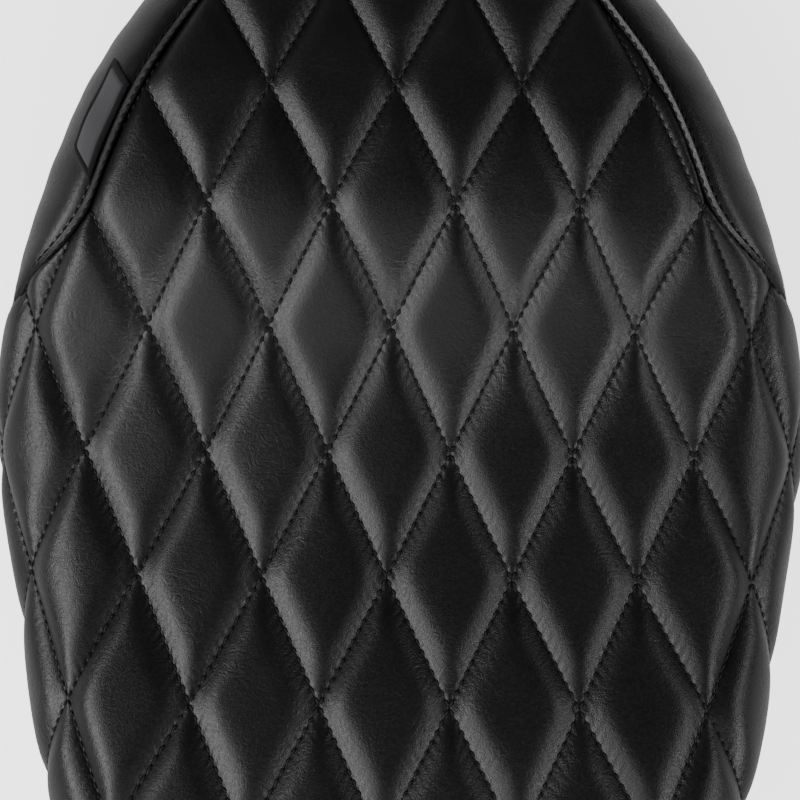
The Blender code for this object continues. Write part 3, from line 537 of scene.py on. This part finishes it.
plain_vinyl = vinyl("plain upholstery vinyl", False)
for side, word in ((1, "right"), (-1, "left")):
    panel = nose_panel(side)
    give_thickness(panel, VINYL_THICKNESS)
    panel.data.materials.append(plain_vinyl)
    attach(panel, "root")
    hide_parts(f"nose_panel_{word}", f"nose_backing_{word}")

# ==== The thread ========================================================================================
# Black bonded polyester in lock stitches that dip through the cover at both ends. A size 92 machine
# thread is about 0.33 mm thick. This one is drawn two to three times as thick, so that it shows.

THREAD_RADIUS = 0.00052
SEAM_THREAD_RADIUS = 0.00032
ARCH = 1.45  # rise of a stitch's middle over its ends, in thread radii
SUNK = 0.7  # and how far its ends lie below the cover
TAPER = 0.45
THREAD_SIDES = 6
THREAD_RINGS = 5


def stitches(flat, lift, thickness):
    """Tubes of this thickness along short rows of flat points, one row a stitch: the middle arches up
    out of the cover as one less the square of its place, and both ends sink and taper."""
    count, rings = flat.shape[:2]
    place = np.linspace(-1, 1, rings)
    arch = thickness * (ARCH * (1 - place**2) - SUNK)
    points, normal = on_seat(flat.reshape(-1, 2), (lift + arch).ravel(), skin_end)
    points, normal = points.reshape(count, rings, 1, 3), normal.reshape(count, rings, 1, 3)
    along = np.gradient(points, axis=1)
    along /= np.linalg.norm(along, axis=-1, keepdims=True)
    sideways = np.cross(along, normal)
    sideways /= np.linalg.norm(sideways, axis=-1, keepdims=True)
    up = np.cross(sideways, along)
    turn = (np.arange(THREAD_SIDES) * 2 * math.pi / THREAD_SIDES)[None, None, :, None]
    radius = (thickness * (1 - TAPER * place**4))[None, :, None, None]
    tube = points + radius * (np.cos(turn) * sideways + np.sin(turn) * up)
    number = np.arange(count * rings * THREAD_SIDES).reshape(count, rings, THREAD_SIDES)
    after = np.roll(number, -1, axis=2)
    walls = np.stack([number[:, :-1], number[:, 1:], after[:, 1:], after[:, :-1]], axis=-1).reshape(-1, 4)
    first, last = number[:, 0], number[:, -1]
    caps = [first[:, [0, 1, 2, 3]], first[:, [0, 3, 4, 5]], last[:, [3, 2, 1, 0]], last[:, [5, 4, 3, 0]]]
    return tube.reshape(-1, 3), np.concatenate([walls, *caps])


def thread_material():
    """Twisted polyester: near black, softly shiny, with the twist as a fine slanting wave, about a
    millimetre from ply to ply, and painted shade that darkens the colour in the grooves between the plies."""
    made, tree, shader = new_material("bonded polyester thread")
    place = add(tree, "TexCoord").outputs["Object"]
    twist = add(tree, "TexWave", [("Vector", place), ("Scale", 1 / 0.0011)], bands_direction="DIAGONAL")
    height = add(tree, "Math", [(0, twist.outputs["Fac"]), (1, 0.00008)], operation="MULTIPLY")
    bump = add(tree, "Bump", [("Height", height.outputs[0]), ("Distance", 1.0)])
    # painted shade: the colour follows the twist's height, darker in the grooves between the plies
    colour = ramp(tree, twist.outputs["Fac"], ((0.2, "#040404"), (0.8, "#09090a")))
    tree.links.new(colour, shader.inputs["Base Color"])
    tree.links.new(bump.outputs[0], shader.inputs["Normal"])
    shader.inputs["Roughness"].default_value = 0.6
    shader.inputs["Specular IOR Level"].default_value = 0.25
    return made


thread = thread_material()
STITCH = 0.0029  # the part of each stitch that shows
SEAM_STITCH = 0.0028
ring_places = np.linspace(-0.5, 0.5, THREAD_RINGS)
whole = np.arange(-LINES, LINES + 1)
centres = np.arange(-LINES, LINES, STITCH_PITCH / side_length) + STITCH_PITCH / side_length / 2
fixed, moving = np.meshgrid(whole, centres, indexing="ij")
moving = moving.ravel()[:, None] + ring_places * STITCH / side_length
fixed = np.broadcast_to(fixed.ravel()[:, None], moving.shape)
a = np.concatenate([fixed, moving])
b = np.concatenate([moving, fixed])
flat = pattern_place(a, b)
mid = THREAD_RINGS // 2
near = (np.abs(flat[:, mid, 0]) < 0.24) & (flat[:, mid, 1] > hips - 0.31) & (flat[:, mid, 1] < hips + 0.27)
a, b, flat = a[near], b[near], flat[near]
station, distance = [values.reshape(a.shape) for values in to_roll_line(flat.reshape(-1, 2))]
foot = ROLL_LENGTH + at(wall, station[:, mid])
shown = distance.max(axis=1) < at(quilt_limit, station[:, mid]) - 0.0006
shown &= distance[:, mid] < foot
a, b, flat, station, distance = a[shown], b[shown], flat[shown], station[shown], distance[shown]
points, faces = stitches(flat, quilt_lift(a, b, station, distance), THREAD_RADIUS)
quilting = add_piece("quilting_thread", points, faces)


def row_beside_seam(offset, lift):
    """Stitches at an even pitch along a flat line beside the seam, at this height over the skin."""
    line = beside_seam(offset)
    run = np.concatenate([[0], np.cumsum(np.linalg.norm(np.diff(line, axis=0), axis=1))])
    middle = np.arange(STITCH_PITCH, run[-1] - STITCH_PITCH, STITCH_PITCH)
    along = middle[:, None] + ring_places * SEAM_STITCH
    flat = np.stack([np.interp(along, run, line[:, i]) for i in (0, 1)], axis=-1)
    return stitches(flat, np.full(along.shape, lift), SEAM_THREAD_RADIUS)


rows = (
    row_beside_seam(ROW_INSIDE, -0.0015),
    row_beside_seam(ROW_OUTSIDE, -0.0008),
)
starts = np.cumsum([0] + [len(points) for points, _ in rows[:-1]])
points = np.vstack([points for points, _ in rows])
faces = np.vstack([faces + start for start, (_, faces) in zip(starts, rows)])
seam_thread = add_piece("seam_thread", points, faces)
for piece in (quilting, seam_thread):
    piece.data.materials.append(thread)
    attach(piece, "root")

# ==== The label =========================================================================================
# A folded woven label caught in the left seam, plain, with a darker rolled border. It leans forward
# from the seam, and the corner at its rear is cut round.

LABEL_LENGTH = 0.041
LABEL_WIDTH = 0.0135
LABEL_LEAN = 0.0080  # the free edge lies this much further forward
LABEL_CORNER = 0.0050
LABEL_BORDER = 0.0021
LABEL_AHEAD = 0.0045  # of the middle of the CAD label
LABEL_THICKNESS = 0.0009
label_low, label_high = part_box("label")
label_middle = (label_low[1] + label_high[1]) / 2 + LABEL_AHEAD
left = seam_stations[seam_stations > STATIONS // 2]
run = np.concatenate([[0], np.cumsum(np.linalg.norm(np.diff(seam_plan[left], axis=0), axis=1))])
middle_run = np.interp(-label_middle, -seam_plan[left, 1], run)
s, t = np.meshgrid(np.linspace(-0.5, 0.5, 81), np.linspace(0, 1, 25), indexing="ij")
# the end slants in evenly, and rounds off over the last third of the width
cut = LABEL_CORNER * (0.6 * t + 0.4 * np.maximum(1 - (1 - t) / 0.3, 0) ** 2)
along = (LABEL_LENGTH - cut) * s - cut / 2
offset = 0.0010 + LABEL_WIDTH * t
place = middle_run + along - LABEL_LEAN * t**0.9
flat = np.stack([np.interp(place, run, seam_plan[left, i]) for i in (0, 1)], axis=-1)
out = np.stack([np.interp(place, run, seam_out[left, i]) for i in (0, 1)], axis=-1)
flat = flat + out * offset[..., None]
edge_gap = np.minimum(LABEL_WIDTH * np.minimum(1 - t, t), (LABEL_LENGTH - cut) * (0.5 - np.abs(s)) * 0.72)
rolled = np.sqrt(np.clip(edge_gap / 0.0008, 0, 1)) * 0.0005
rolled = rolled - 0.0004 * np.exp(-(((edge_gap - LABEL_BORDER) / 0.0004) ** 2))
lift = 0.0007 + 0.0004 * t**0.7 + 0.0003 * np.sin(s * 9) + rolled
points, _ = on_seat(flat.reshape(-1, 2), lift.ravel())
uv = np.column_stack([along.ravel() * 1000, offset.ravel() * 1000])
cells = grid_faces(np.arange(len(points)).reshape(s.shape))
label = add_piece("woven_label", points, cells[:, ::-1], uv)
border = label.data.attributes.new("edge_gap", "FLOAT", "POINT")
border.data.foreach_set("value", edge_gap.ravel())
give_thickness(label, LABEL_THICKNESS)


def label_material():
    """Damask-woven polyester: fine ribs across, a satin middle and a darker plain border. The weave is
    drawn at about half a millimetre, which is coarser than a real one, so that it shows."""
    made, tree, shader = new_material("damask woven label")
    pattern = add(tree, "SeparateXYZ", [(0, add(tree, "UVMap", uv_map="pattern").outputs[0])])
    gap = add(tree, "Attribute", attribute_name="edge_gap").outputs["Fac"]
    inside = add(tree, "MapRange", [("Value", gap), (1, LABEL_BORDER - 0.0002), (2, LABEL_BORDER + 0.0002)])
    rib = add(tree, "Math", [(0, pattern.outputs[0]), (1, 2 * math.pi / 0.55)], operation="MULTIPLY")
    rib = add(tree, "Math", [(0, rib.outputs[0])], operation="SINE")
    pick = add(tree, "Math", [(0, pattern.outputs[1]), (1, 2 * math.pi / 0.40)], operation="MULTIPLY")
    pick = add(tree, "Math", [(0, pick.outputs[0])], operation="SINE")
    weave = add(tree, "Math", [(0, rib.outputs[0]), (1, pick.outputs[0])], operation="MULTIPLY")
    height = add(tree, "Math", [(0, weave.outputs[0]), (1, 0.00006)], operation="MULTIPLY")
    bump = add(tree, "Bump", [("Height", height.outputs[0]), ("Distance", 1.0)])
    shades = [(0, inside.outputs[0]), (6, linear("#050505")), (7, linear("#3c3c3e"))]
    colour = add(tree, "Mix", shades, data_type="RGBA")
    tree.links.new(colour.outputs[2], shader.inputs["Base Color"])
    tree.links.new(bump.outputs[0], shader.inputs["Normal"])
    shader.inputs["Roughness"].default_value = 0.75
    shader.inputs["Specular IOR Level"].default_value = 0.15
    shader.inputs["Sheen Weight"].default_value = 0.05
    return made


label.data.materials.append(label_material())
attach(label, "root")
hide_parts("label")

# ==== The pan and its brackets ==========================================================================
# Pressed and bent steel, powder-coated black: a soft gloss with the fine ripple that baked powder has.


def powder_coat():
    """Baked powder: a fine ripple about 2 mm across, and a gloss that dust dulls in patches."""
    made, tree, shader = new_material("black powder coat on steel")
    place = add(tree, "TexCoord").outputs["Object"]
    ripple = add(tree, "TexNoise", [("Vector", place), ("Scale", 1 / 0.0024), ("Detail", 2.0)])
    dust = add(tree, "TexNoise", [("Vector", place), ("Scale", 1 / 0.045), ("Detail", 5.0)])
    height = add(tree, "Math", [(0, ripple.outputs["Fac"]), (1, 0.00012)], operation="MULTIPLY")
    bump = add(tree, "Bump", [("Height", height.outputs[0]), ("Distance", 1.0)])
    colour = ramp(tree, dust.outputs["Fac"], ((0.35, "#1b1b1c"), (0.7, "#262627")))
    rough = add(tree, "MapRange", [("Value", dust.outputs["Fac"]), (3, 0.34), (4, 0.50)])
    tree.links.new(colour, shader.inputs["Base Color"])
    tree.links.new(rough.outputs[0], shader.inputs["Roughness"])
    tree.links.new(bump.outputs[0], shader.inputs["Normal"])
    return made


def finish_nodes(material, names):
    """Gives carried-over pieces a finish, in the slots that they already have."""
    for name in names:
        for place in range(len(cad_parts[name].material_slots)):
            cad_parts[name].material_slots[place].material = material


finish_nodes(powder_coat(), ("seat_pan", "tail_tab", "nose_tongue"))

# ==== Rubber ============================================================================================
# Moulded black rubber: the edge strip on the pan and the six push-in bumpers, matt and a little dusty.


def rubber():
    """Moulded rubber: a grit drawn coarse enough to show, and a paler bloom in centimetre patches."""
    made, tree, shader = new_material("moulded rubber")
    place = add(tree, "TexCoord").outputs["Object"]
    bloom = add(tree, "TexNoise", [("Vector", place), ("Scale", 1 / 0.012), ("Detail", 6.0)])
    grit = add(tree, "TexNoise", [("Vector", place), ("Scale", 1 / 0.0009), ("Detail", 2.0)])
    height = add(tree, "Math", [(0, grit.outputs["Fac"]), (1, 0.00010)], operation="MULTIPLY")
    bump = add(tree, "Bump", [("Height", height.outputs[0]), ("Distance", 1.0)])
    colour = ramp(tree, bloom.outputs["Fac"], ((0.35, "#161616"), (0.75, "#2a2a29")))
    tree.links.new(colour, shader.inputs["Base Color"])
    tree.links.new(bump.outputs[0], shader.inputs["Normal"])
    shader.inputs["Roughness"].default_value = 0.78
    return made


bumpers = [f"bumper_{row}_{side}" for row in ("front", "middle", "rear") for side in ("left", "right")]
finish_nodes(rubber(), ["pan_edge_strip"] + bumpers)

# ==== Fasteners =========================================================================================
# Bolts, washers and nuts in bright zinc plate, which clouds in patches, and rivets of plain aluminium
# with the fine scratches of the setting tool.


def plated(name, low, high, rough, grain):
    """Bright metal between two greys, clouded in patches of this grain, with fine scratches."""
    made, tree, shader = new_material(name)
    place = add(tree, "TexCoord").outputs["Object"]
    cloud = add(tree, "TexNoise", [("Vector", place), ("Scale", 1 / grain), ("Detail", 5.0)])
    scratch = add(tree, "TexNoise", [("Vector", place), ("Scale", 1 / 0.0007), ("Detail", 3.0)])
    height = add(tree, "Math", [(0, scratch.outputs["Fac"]), (1, 0.00004)], operation="MULTIPLY")
    bump = add(tree, "Bump", [("Height", height.outputs[0]), ("Distance", 1.0)])
    spread = add(tree, "MapRange", [("Value", cloud.outputs["Fac"]), (3, rough), (4, rough + 0.18)])
    tree.links.new(ramp(tree, cloud.outputs["Fac"], ((0.3, low), (0.7, high))), shader.inputs["Base Color"])
    tree.links.new(spread.outputs[0], shader.inputs["Roughness"])
    tree.links.new(bump.outputs[0], shader.inputs["Normal"])
    shader.inputs["Metallic"].default_value = 1.0
    return made


corners = ("nose_left", "nose_right", "tail_left", "tail_right")
hardware = [f"{kind}_{corner}" for kind in ("bolt", "washer", "nut") for corner in corners]
finish_nodes(plated("zinc plate", "#a9aaa6", "#cfd0cb", 0.24, 0.004), hardware)
rivets = [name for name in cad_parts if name.startswith("rivet_")]
finish_nodes(plated("rivet aluminium", "#b9babb", "#d5d6d6", 0.28, 0.002), rivets)

# ==== The floor, the lights and the camera ==============================================================
# A pale floor under soft studio light, seen from almost straight above and a little behind. The steep
# sides mirror a second, dim floor, which the camera doesn't see, so they stay dark.


def floor_sheet(name, height, colour, strength):
    """A level glowing sheet at this height."""
    corners = np.array([(-3, -3, height), (3, -3, height), (3, 3, height), (-3, 3, height)])
    sheet = add_piece(name, corners, np.array([[0, 1, 2, 3]]))
    made, tree, shader = new_material(name.replace("_", " "))
    shader.inputs["Base Color"].default_value = linear(colour)
    shader.inputs["Roughness"].default_value = 0.8
    shader.inputs["Emission Color"].default_value = linear("#ffffff")
    shader.inputs["Emission Strength"].default_value = strength
    sheet.data.materials.append(made)
    return sheet


pale_floor = floor_sheet("pale_floor", -0.0002, "#f2f2f1", 1.9)
pale_floor.visible_glossy = False
dim_floor = floor_sheet("dim_floor", -0.0006, "#050505", 0.8)
dim_floor.visible_camera = False


seat_middle = Vector((0, 0, 0.08))


def softbox(name, place, width, length, power):
    """A rectangular light of this size in metres and power in watts, which faces the seat."""
    lamp = bpy.data.lights.new(name, "AREA")
    lamp.shape = "RECTANGLE"
    lamp.size = width
    lamp.size_y = length
    lamp.energy = power
    thing = bpy.data.objects.new(name, lamp)
    bpy.context.scene.collection.objects.link(thing)
    thing.location = place
    thing.rotation_euler = (seat_middle - Vector(place)).to_track_quat("-Z", "Y").to_euler()


softbox("rear_softbox", (0.0, -1.6, 1.15), 1.8, 0.5, 30)
softbox("overhead_softbox", (-0.4, -0.8, 1.7), 1.9, 1.8, 9.5)
softbox("high_left_softbox", (-1.3, 0.1, 1.35), 0.6, 1.6, 12)
softbox("left_rear_strip", (-1.5, -0.65, 1.05), 1.3, 0.55, 22)
softbox("left_front_strip", (-1.5, 0.5, 1.05), 1.0, 0.55, 12)
softbox("right_rear_strip", (1.55, -0.7, 1.0), 1.2, 0.5, 17)
softbox("right_front_strip", (1.55, 0.45, 1.0), 0.9, 0.5, 7)

world = bpy.data.worlds.new("studio")
bpy.context.scene.world = world
world.use_nodes = True
world.node_tree.nodes["Background"].inputs["Color"].default_value = linear("#dcdcdc")
world.node_tree.nodes["Background"].inputs["Strength"].default_value = 0.07

VIEW_TILT = math.radians(5)
VIEW_DISTANCE = 0.821
aim = np.array([0.0, hips + 0.006, 0.078])
lens = bpy.data.cameras.new("camera")
lens.lens = 97.6
lens.sensor_width = 36
camera = bpy.data.objects.new("camera", lens)
bpy.context.scene.collection.objects.link(camera)
camera.location = aim + VIEW_DISTANCE * np.array([0, -math.sin(VIEW_TILT), math.cos(VIEW_TILT)])
camera.rotation_euler = (VIEW_TILT, 0, 0)
bpy.context.scene.camera = camera
